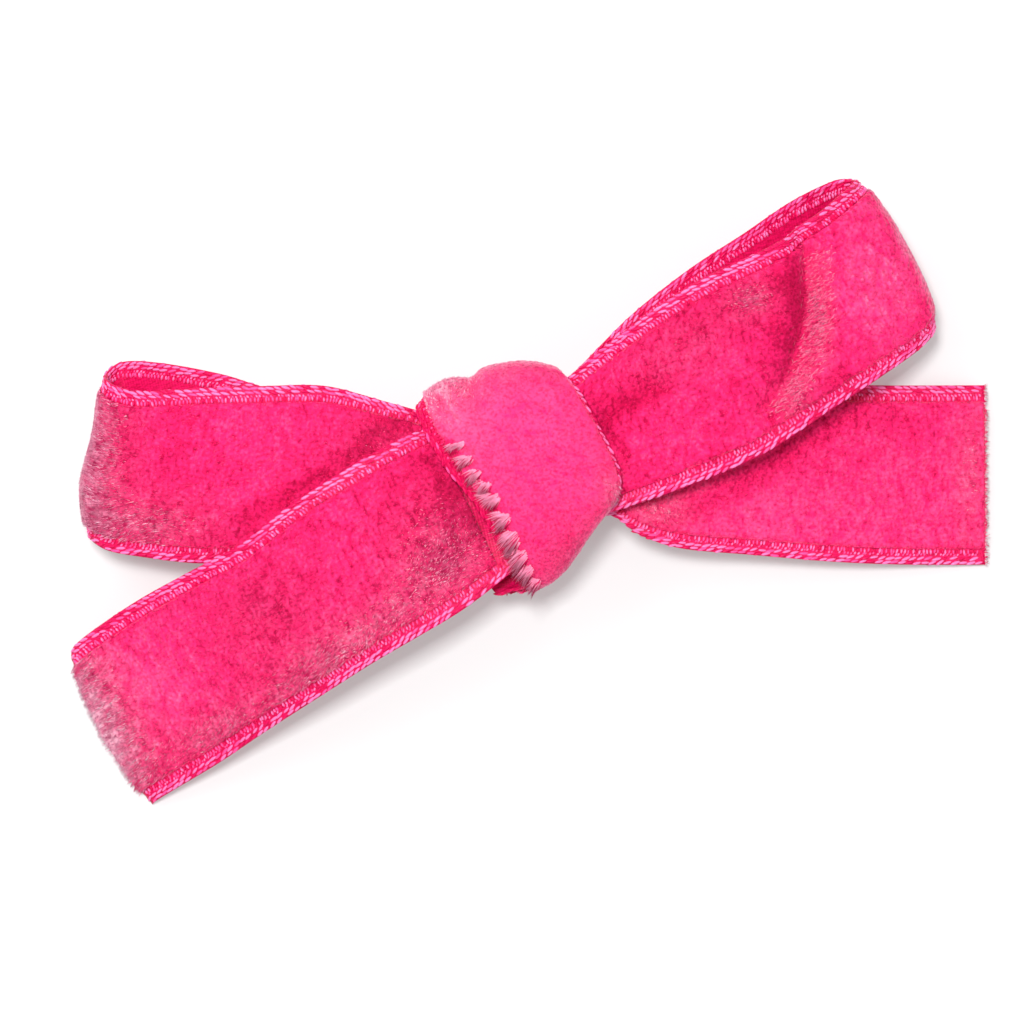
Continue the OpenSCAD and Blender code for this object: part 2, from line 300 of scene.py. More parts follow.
def pile_piece(name, strip, s_range, t_range, seed, step):
    """The dense part of the pile: a plush layer that rounds off at its edges."""
    s0, s1 = s_range
    ns = int((s1 - s0) / step) + 1
    nt = int((t_range[1] - t_range[0]) * HALF_W / step) + 1
    s, t = np.meshgrid(np.linspace(s0, s1, ns), np.linspace(*t_range, nt), indexing="ij")
    across = t * HALF_W
    edge = np.minimum(t - t_range[0], t_range[1] - t) * HALF_W
    end = np.minimum(s - s0, s1 - s)
    inset = np.minimum(edge + 0.18 * value_noise(s, across, 0.5, seed + 5), end)
    rise = np.sqrt(np.clip(1 - (1 - np.clip(inset / PILE_ROUND, 0, 1)) ** 2, 0, 1))
    near = clumps(s, across, CLUMP, strip.seed)[2]
    light, combed, rough = strip.tone(s, t)
    grain = (0.05 * value_noise(s, across, 1.7, seed) + 0.05 * value_noise(s, across, 0.36, seed + 2)
             + 0.2 * rough * (np.sqrt(near) - 0.6))
    pits = -0.3 * rough * np.clip(value_noise(s, across, 0.6, seed + 3) - 0.45, 0, 1)
    height = GROUND_T / 2 - PILE_SINK + (PILE_H + PILE_SINK + grain + pits) * rise
    faces = grid_faces(ns, nt, strip.side < 0)
    piece = make_mesh(name, strip.point(s, t, height).reshape(-1, 3), faces, [MATERIALS["plush"]])
    streaks = value_noise(s * 0.5, across, 0.45, seed + 4)
    dashes = np.clip(value_noise(s, across * 0.4, 0.34, seed + 12) - 0.3, 0, 1)
    # The tone brings the strip's painted shade and highlights, and draws the pile darker in its pits and
    # between its tufts: painted shade.
    tone = (light - 1.3 * rough * dashes + (rough * (1 - combed) * 0.6 * (near - 0.5))
            + 1.6 * pits + 0.6 * combed * streaks + strip.mottle * value_noise(s, across, 1.3, seed + 6))
    for key, value in (("tone", tone), ("combed", np.clip(combed + 0.25 * combed * streaks, 0, 1))):
        piece.data.attributes.new(key, "FLOAT", "POINT").data.foreach_set("value", value.ravel())
    return piece


def spikes(base, tip, radius):
    """Three-sided fibres from base to tip."""
    axis = unit(tip - base)
    helper = np.where(np.abs(axis[:, 2:]) < 0.9, [[0.0, 0.0, 1.0]], [[1.0, 0.0, 0.0]])
    u = unit(np.cross(axis, helper))
    v = np.cross(axis, u)
    corners = [base + radius[:, None] * (u * math.cos(a) + v * math.sin(a))
               for a in (0, 2 * math.pi / 3, 4 * math.pi / 3)]
    verts = np.stack(corners + [tip], axis=1).reshape(-1, 3)
    start = 4 * np.arange(len(base))[:, None]
    faces = np.vstack([start + [0, 1, 3], start + [1, 2, 3], start + [2, 0, 3]])
    return verts, faces


def fibre_piece(name, strip, s_range, t_range, per_mm2, seed, lean):
    """Loose fibre tips that stand out of the dense pile and gather into small tufts."""
    rng = np.random.default_rng(seed)
    area = (s_range[1] - s_range[0]) * (t_range[1] - t_range[0]) * HALF_W
    count = int(area * per_mm2)
    s = rng.uniform(*s_range, count)
    t = rng.uniform(*t_range, count)
    place = t * HALF_W
    near_s, near_place, _ = clumps(s, place, CLUMP, strip.seed)
    light, combed, rough = strip.tone(s, t)
    along, across, out = strip.directions(s, t)
    nap = 0.4 * value_noise(s, place, 3.2, seed + 7)
    swirl = 0.4 * value_noise(s, place, 2.6, seed + 8)
    turned = np.clip((0.75 - np.abs(out[:, 2])) / 0.6, 0, 1)  # how far the surface turns from face up
    long = (PILE_H * 0.45 + FIBRE_H * (0.5 + 0.5 * rough * (1 - turned) + 1.1 * combed)) \
        * (1 - 0.45 * turned) * rng.uniform(0.7, 1.1, count)
    way_along = (lean[0] * (1 + 2 * combed) + nap + 0.6 * (near_s - s) / long
                 + rng.normal(0, FIBRE_SPREAD, count))
    way_across = lean[1] + swirl + 0.6 * (near_place - place) / long + rng.normal(0, FIBRE_SPREAD, count)
    way = out + along * way_along[:, None] + across * way_across[:, None]
    base = strip.point(s, t, np.full(count, GROUND_T / 2 + PILE_H * 0.55))
    radius = FIBRE_R * (1 + 0.25 * combed) * rng.uniform(0.7, 1.3, count)
    verts, faces = spikes(base, base + unit(way) * long[:, None], radius)
    patchy = 0.75 * value_noise(near_s, near_place, 0.5, seed + 9) + rng.normal(0, 0.55, count)
    # Upright fibres follow the strip's lightness, with its painted shade and highlights, and are dealt paler
    # tones where the surface turns from face up: a painted sheen.
    upright = (2.0 + 1.7 * light + turned + 2.2 * strip.mottle * value_noise(s, place, 1.3, seed + 6)
               + (rough + 0.3 * combed) * patchy)
    laid = rng.uniform(0.25, 0.85, count) < combed
    laid_over = 5.5 + light + 1.1 * value_noise(s * 0.5, place, 0.45, seed + 4) + rng.normal(0, 0.4, count)
    level = np.where(laid, laid_over, np.minimum(upright, 3.2 + 0.6 * turned))
    level = np.clip(np.rint(level), 0, np.where(laid, len(FIBRE_TONES) - 1, len(NAP) - 1))
    piece = make_mesh(name, verts, faces, FIBRE_TONES, np.tile(level, 3))
    return piece


def spindles(centre, along, across, out, half_length, half_width, half_height):
    """Small rounded stitches, each pointing along its own direction."""
    rings = [(-0.62, 0.72), (0.0, 1.0), (0.62, 0.72)]
    sides = 6
    parts = [centre - along * half_length]
    for place, size in rings:
        for k in range(sides):
            a = 2 * math.pi * k / sides
            parts.append(centre + along * half_length * place
                         + (across * half_width * math.cos(a) + out * half_height * math.sin(a)) * size)
    parts.append(centre + along * half_length)
    verts = np.stack(parts, axis=1).reshape(-1, 3)
    per = len(parts)
    start = per * np.arange(len(centre))[:, None]
    faces = []
    for k in range(sides):
        n = (k + 1) % sides
        faces += [(0, 1 + n, 1 + k), (per - 1, per - 1 - sides + k, per - 1 - sides + n)]
        for ring in range(len(rings) - 1):
            a, b = 1 + ring * sides + k, 1 + ring * sides + n
            faces += [(a, b, b + sides), (a, b + sides, a + sides)]
    return verts, np.vstack([start + f for f in faces])


def selvedge_piece(name, strip, seed, faces_shown=(1, -1), edges=(-1, 1), light=0.62, deep=0.15,
                   ticks=0.35, rows=4):
    """Two rows of slanted stitches and two of fine ticks along each edge.

    light and ticks are the shares of light ones in each, and deep the share of dark ones in both.
    """
    rng = np.random.default_rng(seed)
    verts, faces, tones, offset = [], [], [], 0
    sizes = [  # distance from the edge, pitch, slant, half length, half width, half height
        (0.26, 1.05, 0.24, 0.66, 0.2, 0.17),
        (0.76, 1.05, 0.24, 0.66, 0.2, 0.17),
        (1.24, 0.5, 0.9, 0.22, 0.14, 0.16),
        (1.64, 0.5, 1.5, 0.36, 0.15, 0.24),
    ]
    for face in faces_shown:
        for edge in edges:
            for n, (inset, pitch, slant, long, wide, high) in enumerate(sizes[:rows]):
                s = np.arange(STITCH_MARGIN + 0.5 * pitch * (n % 2), strip.length - STITCH_MARGIN, pitch)
                s = s + rng.normal(0, 0.08, len(s))
                t = edge * (1 - (inset + rng.normal(0, 0.04, len(s))) / HALF_W)
                along, across, out = strip.directions(s, t)
                turn = slant * edge + rng.normal(0, 0.12, (len(s), 1))
                way = along * np.cos(turn) + across * np.sin(turn)
                centre = strip.point(s, t, np.full(len(s), face * (GROUND_T / 2 + 0.05)))
                size = rng.uniform(0.85, 1.12, (len(s), 1))
                v, f = spindles(centre, way, unit(np.cross(out, way)), out,
                                long * size, wide * size, high * size)
                verts.append(v)
                faces.append(f + offset)
                here = np.where(s < strip.length / 2, light * strip.back_edge, light) if n < 2 else ticks
                draw = rng.uniform(0, 1, len(s))
                tone = np.where(draw < here, 0, np.where(draw < 1 - deep, 1, 2))
                tones.append(np.tile(tone, len(f) // len(s)))
                offset += len(v)
    materials = [MATERIALS["stitch_light"], MATERIALS["stitch_mid"], MATERIALS["stitch_deep"]]
    piece = make_mesh(name, np.vstack(verts), np.vstack(faces), materials, np.concatenate(tones))
    return piece


# ---------------------------------------------------------------- materials

def new_material(name, base, roughness, metallic=0.0, sheen=0.0, sheen_tint=None, sheen_roughness=0.5,
                 specular=0.5):
    """A material with its node tree and its shader."""
    mat = bpy.data.materials.new(name)
    mat.use_nodes = True
    shader = mat.node_tree.nodes["Principled BSDF"]
    shader.inputs["Base Color"].default_value = base
    shader.inputs["Roughness"].default_value = roughness
    shader.inputs["Metallic"].default_value = metallic
    shader.inputs["Specular IOR Level"].default_value = specular
    shader.inputs["Sheen Weight"].default_value = sheen
    shader.inputs["Sheen Roughness"].default_value = sheen_roughness
    if sheen_tint:
        shader.inputs["Sheen Tint"].default_value = sheen_tint
    return mat, mat.node_tree, shader


def noise_node(tree, scale, detail=3.0, stretch=(1, 1, 1)):
    """A noise texture in the piece's own metres."""
    where = tree.nodes.new("ShaderNodeTexCoord")
    mapping = tree.nodes.new("ShaderNodeMapping")
    mapping.inputs["Scale"].default_value = stretch
    noise = tree.nodes.new("ShaderNodeTexNoise")
    noise.inputs["Scale"].default_value = scale
    noise.inputs["Detail"].default_value = detail
    tree.links.new(where.outputs["Object"], mapping.inputs["Vector"])
    tree.links.new(mapping.outputs["Vector"], noise.inputs["Vector"])
    return noise.outputs["Fac"]


def ramp_node(tree, value, stops):
    """Colour of a value along stops of (position, colour)."""
    ramp = tree.nodes.new("ShaderNodeValToRGB")
    elements = ramp.color_ramp.elements
    while len(elements) < len(stops):
        elements.new(0.5)
    for element, (position, colour) in zip(elements, stops):
        element.position = position
        element.color = colour
    tree.links.new(value, ramp.inputs["Fac"])
    return ramp.outputs["Color"]


def mix_node(tree, a, b, share, blend="MIX"):
    """Mix of two colours; each input is a node's output or a fixed value."""
    mix = tree.nodes.new("ShaderNodeMix")
    mix.data_type = "RGBA"
    mix.blend_type = blend
    for name, value in (("Factor", share), ("A", a), ("B", b)):
        if isinstance(value, bpy.types.NodeSocket):
            tree.links.new(value, mix.inputs[name])
        else:
            mix.inputs[name].default_value = value
    return mix.outputs["Result"]


def attribute_node(tree, name):
    """A number that the mesh carries at each point."""
    node = tree.nodes.new("ShaderNodeAttribute")
    node.attribute_name = name
    return node.outputs["Fac"]


def map_node(tree, value, low, high, to_low=0.0, to_high=1.0):
    """A value's range moved to another one."""
    node = tree.nodes.new("ShaderNodeMapRange")
    for name, number in (("From Min", low), ("From Max", high), ("To Min", to_low), ("To Max", to_high)):
        node.inputs[name].default_value = number
    tree.links.new(value, node.inputs["Value"])
    return node.outputs["Result"]


def bump_node(tree, shader, height, strength, distance):
    """Bump from a height, with its distance in metres."""
    bump = tree.nodes.new("ShaderNodeBump")
    bump.inputs["Strength"].default_value = strength
    bump.inputs["Distance"].default_value = distance
    tree.links.new(height, bump.inputs["Height"])
    tree.links.new(bump.outputs["Normal"], shader.inputs["Normal"])


# The upright nap and the nap laid over, each from its deep tone to its pale one.
NAP = [linear(190, 14, 72), linear(226, 30, 98), linear(247, 44, 115), linear(252, 74, 136),
       linear(251, 150, 187)]
COMBED = [linear(152, 42, 82), linear(188, 82, 116), linear(220, 122, 152), linear(250, 196, 214)]
SHEEN = linear(255, 170, 200)


def plush_material():
    """Colour from the nap's tone, which the mesh carries, paler at grazing angles as velvet's sheen is."""
    mat, tree, shader = new_material("velvet_plush", NAP[2], 0.9, sheen=0.06, sheen_tint=SHEEN,
                                     sheen_roughness=0.4, specular=0.04)
    level = map_node(tree, attribute_node(tree, "tone"), -1.3, 1.3)
    smooth = ramp_node(tree, level, list(zip((0.12, 0.34, 0.52, 0.7, 0.95), NAP)))
    laid = ramp_node(tree, level, list(zip((0.25, 0.5, 0.72, 1.0), COMBED)))
    base = mix_node(tree, smooth, laid, attribute_node(tree, "combed"))
    grazing = tree.nodes.new("ShaderNodeLayerWeight")
    grazing.inputs["Blend"].default_value = 0.3
    rim = ramp_node(tree, grazing.outputs["Facing"], [(0.35, (0, 0, 0, 1)), (0.9, (0.75, 0.75, 0.75, 1))])
    base = mix_node(tree, base, COMBED[-1], rim)
    fine = ramp_node(tree, noise_node(tree, 2600, 4), [(0.36, (0.62, 0.5, 0.56, 1)), (0.55, (1, 1, 1, 1))])
    tree.links.new(mix_node(tree, base, fine, 1.0, "MULTIPLY"), shader.inputs["Base Color"])
    bump_node(tree, shader, noise_node(tree, 4200, 2), 0.5, 0.0001)
    return mat


def ground_material():
    """The ribbon's smooth woven back and sides."""
    mat, tree, shader = new_material("ribbon_ground", linear(212, 8, 80), 0.5, specular=0.2)
    tone = ramp_node(tree, noise_node(tree, 1400, 2, (1, 4, 1)),
                     [(0.35, linear(192, 2, 66)), (0.62, linear(232, 14, 96))])
    tree.links.new(tone, shader.inputs["Base Color"])
    wave = tree.nodes.new("ShaderNodeTexWave")
    wave.inputs["Scale"].default_value = 900
    wave.inputs["Distortion"].default_value = 1.5
    where = tree.nodes.new("ShaderNodeTexCoord")
    tree.links.new(where.outputs["Object"], wave.inputs["Vector"])
    bump_node(tree, shader, wave.outputs["Fac"], 0.35, 0.00008)
    return mat


def plain_material(name, colour, roughness, sheen, specular=0.1):
    """A thread-fine piece: its variation comes from the tones dealt out over its fibres."""
    return new_material(name, colour, roughness, sheen=sheen, sheen_tint=SHEEN, sheen_roughness=0.4,
                        specular=specular)[0]


def steel_material(name, tone, scratch_along):
    """Plated spring steel, finely scratched along one axis."""
    mat, tree, shader = new_material(name, (tone, tone, tone * 1.02, 1), 0.28, metallic=1.0)
    stretch = [1400.0, 1400.0, 1400.0]
    stretch["xyz".index(scratch_along)] = 60.0
    scratches = noise_node(tree, 1.0, 4, tuple(stretch))
    patches = noise_node(tree, 220, 3)
    colour = ramp_node(tree, patches, [(0.35, (tone * 0.86, tone * 0.85, tone * 0.84, 1)),
                                       (0.65, (tone, tone, tone * 1.02, 1))])
    tree.links.new(map_node(tree, scratches, 0.3, 0.7, 0.2, 0.42), shader.inputs["Roughness"])
    tree.links.new(colour, shader.inputs["Base Color"])
    bump_node(tree, shader, scratches, 0.12, 0.00003)
    return mat


def thread_material():
    """Dyed sewing thread."""
    mat, tree, shader = new_material("binding_thread", linear(190, 16, 70), 0.5, sheen=0.2,
                                     sheen_tint=SHEEN)
    tone = ramp_node(tree, noise_node(tree, 2200, 2),
                     [(0.35, linear(150, 4, 50)), (0.65, linear(214, 40, 100))])
    tree.links.new(tone, shader.inputs["Base Color"])
    return mat


MATERIALS = {
    "plush": plush_material(),
    "ground": ground_material(),
    "stitch_light": plain_material("stitch_light", linear(242, 114, 178), 0.4, 0.1, 0.4),
    "stitch_mid": plain_material("stitch_mid", linear(250, 74, 148), 0.4, 0.1, 0.3),
    "stitch_deep": plain_material("stitch_deep", linear(215, 8, 86), 0.4, 0.0, 0.2),
    "thread": thread_material(),
    "fray": plain_material("cut_fray", linear(255, 205, 220), 0.6, 0.1),
    "tuft": plain_material("tuft_pale", linear(255, 150, 186), 0.7, 0.1),
}
# The tones that fibres are dealt out in: upright ones first, then those that are laid over.
FIBRES = NAP + [linear(200, 94, 130), linear(238, 142, 176), linear(252, 200, 220)]
FIBRE_TONES = [plain_material("fibre_%d" % n, colour, 0.8, 0.05 if n < len(NAP) else 0.3, 0.04)
               for n, colour in enumerate(FIBRES)]


# ---------------------------------------------------------------- view and light

def camera():
    """The photographer's view from straight above."""
    data = bpy.data.cameras.new("camera")
    data.lens = LENS
    data.sensor_width = SENSOR
    data.clip_start = 0.01
    cam = bpy.data.objects.new("camera", data)
    cam.location = (VIEW_XY[0] * MM, VIEW_XY[1] * MM, CAMERA_Z * MM)
    cam.rotation_euler = (0, 0, -ROLL)
    bpy.context.scene.collection.objects.link(cam)
    bpy.context.scene.camera = cam


def area_light(name, place, size, power):
    """A soft square light that looks at the middle of the bow."""
    data = bpy.data.lights.new(name, "AREA")
    data.shape = "SQUARE"
    data.size = size
    data.energy = power
    lamp = bpy.data.objects.new(name, data)
    lamp.location = place
    x, y, z = place
    lamp.rotation_euler = (math.atan2(math.hypot(x, y), z), 0, math.atan2(y, x) + math.pi / 2)
    bpy.context.scene.collection.objects.link(lamp)


def stage():
    """A white table that turns up into a wall all round, so that no horizon shows."""
    low = CAD_BOX[0][2]
    table, turn, wall = 0.9, 0.6, 1.0  # the table's radius, its turn's radius and the wall's height
    angles = np.linspace(0, 2 * np.pi, 96, endpoint=False)
    bend = np.linspace(0, np.pi / 2, 16)
    radii = np.concatenate([[table / 3], table + turn * np.sin(bend), [table + turn]])
    heights = low + np.concatenate([[0.0], turn * (1 - np.cos(bend)), [wall]])
    rings = np.stack([np.outer(radii, np.cos(angles)), np.outer(radii, np.sin(angles)),
                      np.repeat(heights[:, None], len(angles), axis=1)], axis=-1)
    count = len(angles)
    faces = [list(range(count))]
    for ring in range(len(radii) - 1):
        for k in range(count):
            n = (k + 1) % count
            inner, outer = ring * count, (ring + 1) * count
            faces.append([inner + k, outer + k, outer + n, inner + n])
    mesh = bpy.data.meshes.new("floor")
    mesh.from_pydata(rings.reshape(-1, 3).tolist(), [], faces)
    mesh.polygons.foreach_set("use_smooth", np.ones(len(mesh.polygons), dtype=bool))
    mat, _, shader = new_material("floor", (FLOOR_WHITE, FLOOR_WHITE, FLOOR_WHITE, 1), 0.9)
    shader.inputs["Emission Color"].default_value = (1, 1, 1, 1)
    shader.inputs["Emission Strength"].default_value = FLOOR_GLOW
    mesh.materials.append(mat)
    floor = bpy.data.objects.new("floor", mesh)
    bpy.context.scene.collection.objects.link(floor)


def studio_light():
    """White surroundings and three soft lights."""
    world = bpy.data.worlds.new("studio")
    world.use_nodes = True
    background = world.node_tree.nodes["Background"]
    background.inputs["Color"].default_value = (1, 1, 1, 1)
    background.inputs["Strength"].default_value = 0.42
    bpy.context.scene.world = world
    bpy.context.scene.view_settings.view_transform = "Standard"
    area_light("key", (-0.04, 0.12, 0.8), 0.13, 5.9)
    area_light("side", (-0.4, 0.45, 0.6), 0.5, 2.2)
    area_light("fill", (0.5, -0.3, 0.5), 0.5, 0.9)


# ---------------------------------------------------------------- the bow's strips

def valley(points, a, b, depth, before, after):
    """A crease along the line from a to b in plan, gentle on one side and steep on the other."""
    a, b = np.array(a, float), np.array(b, float)
    line = b - a
    length = np.linalg.norm(line)
    line = line / length
    rel = points[..., :2] - a
    along = rel @ line
    off = rel @ np.array([line[1], -line[0]])
    width = np.where(off < 0, before, after)
    ends = np.clip(1 + along / 3, 0, 1) * np.clip(1 + (length - along) / 3, 0, 1)
    return -depth * np.exp(-(off / width) ** 2) * ends


def left_loop_relief(points, share, t):
    """A bulge at the loop's turn, and pleats by the knot."""
    fold = np.exp(-((points[..., 0] + 52) / 4) ** 2) * np.exp(-((share - 0.5) / 0.12) ** 2)
    bulge = 1.2 * fold * np.exp(-((t - 0.35) / 0.55) ** 2)
    return bulge + 0.35 * np.cos(t * 5 + 1) * np.clip((points[..., 0] + 26) / 16, 0, 1)


def left_tail_relief(points, share, t):
    """Pleats by the knot."""
    return 0.35 * np.cos(t * 6) * np.clip((points[..., 0] + 24) / 16, 0, 1)


def right_loop_relief(points, share, t):
    """The bent crease in the loop's front, a fold and pleats by the knot, and a bulge at its turn."""
    front = np.clip((share - 0.5) * 12, 0, 1)
    upper = valley(points, (42.2, 21.5), (40.2, 12.5), 1.5, 3.2, 1.7)
    middle = valley(points, (40.2, 12.5), (37.0, 6.5), 1.4, 3.4, 1.8)
    lower = valley(points, (37.0, 6.5), (32.0, 1.8), 1.1, 2.6, 1.6)
    by_knot = valley(points, (11.5, 4.8), (19.5, 8.0), 1.0, 2.2, 1.7)
    fold = np.exp(-((points[..., 0] - 53) / 4) ** 2) * np.exp(-((share - 0.5) / 0.12) ** 2)
    pleats = 0.3 * np.cos(t * 5) * np.clip((26 - points[..., 0]) / 14, 0, 1)
    return (front * (np.minimum(np.minimum(upper, middle), lower) + by_knot) + pleats
            + 0.9 * fold * (1 - np.abs(t) ** 6))


def right_tail_relief(points, share, t):
    """Pleats by the knot."""
    return 0.3 * np.cos(t * 5 + 0.6) * np.clip((28 - points[..., 0]) / 14, 0, 1)


def knot_relief(points, share, t):
    """The band's crown, the fold across its top, and the puckers at its left edge."""
    on_top = np.clip((points[..., 2] - 10.5) / 3, 0, 1)
    crown = 2.4 * (1 - np.abs(t) ** 3) * on_top
    fold = valley(points, (-2.2, 16.5), (-3.0, 8.5), 0.9, 1.3, 2.0) * np.clip((points[..., 1] - 5) / 6, 0, 1)
    border = np.clip(1 - np.abs(t + 0.8) / 0.14, 0, 1) * np.clip((7 - points[..., 1]) / 3, 0, 1)
    puckers = 0.45 * border * np.sin(2 * np.pi * share * KNOT_PUCKERS) * on_top
    return crown + fold + puckers


# Each row is a point of rail A and one of rail B: x, y, z, x, y, z. The first list of soft spots makes the
# nap lighter or darker:
# some are the nap's own uneven tone, some painted shade by the knot, in creases and along edges that other
# strips cross, and some painted highlights at turns and ends. The second lays the pile over, paler, which at
# the turns, ends and the knot's rims is partly a painted sheen. Each spot is x, y, length, width, heading in
# degrees, value.
LEFT_LOOP = Strip([
    [-2.0, 7.5, 11.9, -2.5, -7.5, 11.9], [-10.0, 10.6, 12.4, -12.0, -8.0, 11.6],
    [-18.0, 16.3, 13.2, -23.0, -4.3, 9.9], [-26.5, 18.9, 13.4, -33.0, -0.6, 8.9],
    [-33.0, 22.6, 12.4, -40.0, 1.6, 7.4], [-40.0, 25.7, 10.0, -46.5, 3.4, 5.0],
    [-44.4, 27.0, 7.4, -51.2, 5.2, 2.6], [-46.6, 26.2, 8.8, -53.2, 6.4, 4.0],
    [-46.9, 25.2, 12.0, -53.4, 6.2, 7.6], [-45.5, 23.9, 13.6, -52.0, 4.6, 9.4],
    [-42.8, 22.8, 15.0, -48.6, 2.9, 10.8], [-36.0, 21.5, 17.0, -42.0, 0.4, 12.4],
    [-28.5, 19.9, 17.9, -34.5, -1.4, 13.6], [-20.6, 17.9, 17.2, -24.5, -4.3, 13.6],
    [-13.2, 13.9, 14.9, -14.0, -7.3, 12.9], [-2.0, 7.5, 13.0, -2.5, -7.5, 13.0],
], -1, left_loop_relief, crown=0.3, seed=11, looped=True, smooth=[
    # Painted: shadow along the left tail's upper edge at (-26.0, 6.8), shade by the knot at (-15.3, 10.9),
    # and a highlight at the turn at (-53.0, 15.0).
    (-46.1, 17.3, 2.0, 6.0, -19, -0.25), (-40.7, 12.7, 2.6, 6.5, -19, -0.25),
    (-53.0, 15.0, 2.0, 13.0, -19, 0.8), (-31.4, 13.7, 7.0, 6.0, 0, 0.15),
    (-15.3, 10.9, 5.0, 5.0, 0, -0.4), (-26.0, 6.8, 15.0, 1.4, 18, -0.7),
], combed=[
    (-51.6, 15.0, 4.6, 15.0, -19, 1.0), (-45.5, 6.0, 7.5, 3.6, -14, 0.6), (-16.0, 9.5, 6.0, 4.0, 20, 0.3),
])

LEFT_TAIL = Strip([
    [-1.0, 8.5, 14.3, 1.0, -8.0, 14.3], [-8.5, 9.8, 15.4, -4.0, -10.6, 14.9],
    [-15.0, 8.8, 17.4, -10.5, -13.4, 15.2], [-21.5, 6.9, 18.4, -16.6, -15.3, 15.6],
    [-27.8, 4.8, 18.7, -22.8, -17.1, 14.8], [-35.9, 1.2, 16.2, -31.0, -19.8, 12.4],
    [-43.4, -0.7, 12.4, -38.6, -22.4, 9.0], [-49.7, -2.4, 8.6, -44.9, -24.7, 5.6],
    [-55.4, -4.4, 5.2, -50.5, -26.4, 3.0], [-58.9, -6.0, 2.8, -53.4, -27.3, 1.6],
    [-59.7, -7.2, 1.0, -54.2, -27.7, 0.7],
], 1, left_tail_relief, crown=0.5, end_bulge=0.9, seed=12, mottle=0.3, smooth=[
    # Painted: shade by the knot at (-10.0, -2.0) and along its left edge at (-8.2, 0.5), and a highlight at
    # the curled end at (-60.0, -17.0).
    (-50.0, -13.5, 9.0, 8.0, 14, 0.4), (-60.0, -17.0, 2.6, 13.0, 15, 1.2),
    (-35.1, -6.2, 8.0, 6.0, 0, -0.25), (-10.0, -2.0, 5.5, 9.0, 14, -0.4), (-8.2, 0.5, 9.0, 1.8, -62, -0.6),
], combed=[
    (-58.4, -16.0, 4.6, 14.0, 15, 1.0), (-26.0, -14.6, 16.0, 3.6, 22, 0.65),
    (-11.0, -5.0, 7.0, 7.0, 14, 0.55), (-45.4, -21.0, 6.0, 2.8, 14, 0.4), (-34.0, -8.0, 7.0, 5.0, 20, 0.25),
])

RIGHT_LOOP = Strip([
    [2.0, 8.0, 13.0, 2.0, -6.5, 13.0], [10.0, 12.0, 14.0, 11.5, -5.0, 13.2],
    [18.5, 17.1, 16.6, 22.0, -3.0, 12.2], [27.0, 21.0, 17.4, 31.0, -0.6, 11.4],
    [35.0, 23.8, 16.2, 39.5, 2.2, 9.6], [42.0, 26.3, 12.8, 46.5, 4.6, 6.8],
    [47.6, 27.5, 8.8, 52.4, 6.2, 3.0], [50.0, 27.0, 10.4, 55.0, 7.0, 4.6],
    [49.8, 26.6, 14.6, 54.9, 5.9, 8.8], [47.2, 25.2, 17.6, 52.4, 4.3, 11.4],
    [42.1, 22.7, 20.8, 47.3, 2.2, 14.4], [36.5, 21.1, 22.4, 40.5, -0.2, 16.0],
    [28.3, 19.5, 23.2, 31.5, -3.4, 17.6], [20.5, 16.8, 21.4, 22.4, -5.0, 17.4],
    [12.5, 13.2, 16.8, 12.5, -6.0, 15.4], [2.0, 8.0, 14.3, 2.0, -6.5, 14.3],
], 1, right_loop_relief, crown=0.3, seed=13, looped=True, mottle=0.3, light=-0.05,
    back_edge=0.35, smooth=[
    # Painted: shade in the pleat by the knot at (16.0, 6.4), along the knot's right edge at (13.2, 3.0) and
    # on the crease's steep side at (38.8, 16.4) and (35.8, 9.0), and highlights at the turn at (48.8, 14.0)
    # and (53.9, 17.5).
    (16.0, 6.4, 5.0, 2.0, 18, -0.9), (38.8, 16.4, 5.5, 1.9, 82, -1.0), (35.8, 9.0, 5.0, 2.4, 62, -0.7),
    (27.4, 15.0, 6.0, 4.0, 0, -0.25), (42.8, 2.8, 2.6, 2.2, 0, -0.45), (13.2, 3.0, 7.0, 1.2, -72, -0.4),
    (48.8, 14.0, 11.0, 6.0, 100, 0.5), (53.9, 17.5, 10.0, 1.8, 106, 0.3), (17.5, 1.4, 4.5, 2.4, 0, 0.3),
], combed=[
    (33.2, 15.4, 3.4, 2.4, 0, 0.6), (41.4, 11.4, 5.5, 1.5, 80, 0.8), (36.2, 2.8, 3.6, 1.8, 60, 0.7),
    (24.0, 12.0, 6.0, 4.0, 20, 0.3), (54.6, 17.5, 11.0, 1.4, 106, 0.6),
])

RIGHT_TAIL = Strip([
    [1.0, 8.0, 11.8, 1.0, -6.0, 11.8], [9.0, 8.5, 11.8, 9.5, -6.2, 11.5],
    [15.5, 8.2, 11.6, 13.2, -9.8, 10.6], [22.0, 7.0, 11.0, 17.7, -12.6, 9.4],
    [31.0, 5.0, 9.6, 26.0, -15.5, 7.6], [40.0, 3.0, 7.3, 35.0, -18.6, 5.8],
    [48.0, 0.9, 4.6, 43.0, -21.0, 3.6], [54.4, -0.7, 2.4, 49.5, -22.7, 2.0],
    [59.7, -2.0, 1.2, 54.4, -23.9, 1.0],
], -1, right_tail_relief, crown=0.4, seed=14, mottle=0.2, light=0.25, smooth=[
    # Painted shadow along the right loop's lower edge at (33.0, -4.4).
    (33.0, -4.4, 16.0, 1.6, 17, -0.6), (28.0, -12.0, 9.0, 4.0, -14, 0.15), (48.4, -3.7, 7.0, 3.0, -14, -0.25),
], combed=[(16.4, -7.3, 4.0, 2.8, -14, 0.5), (56.0, -12.5, 2.2, 9.0, -14, 0.4)])

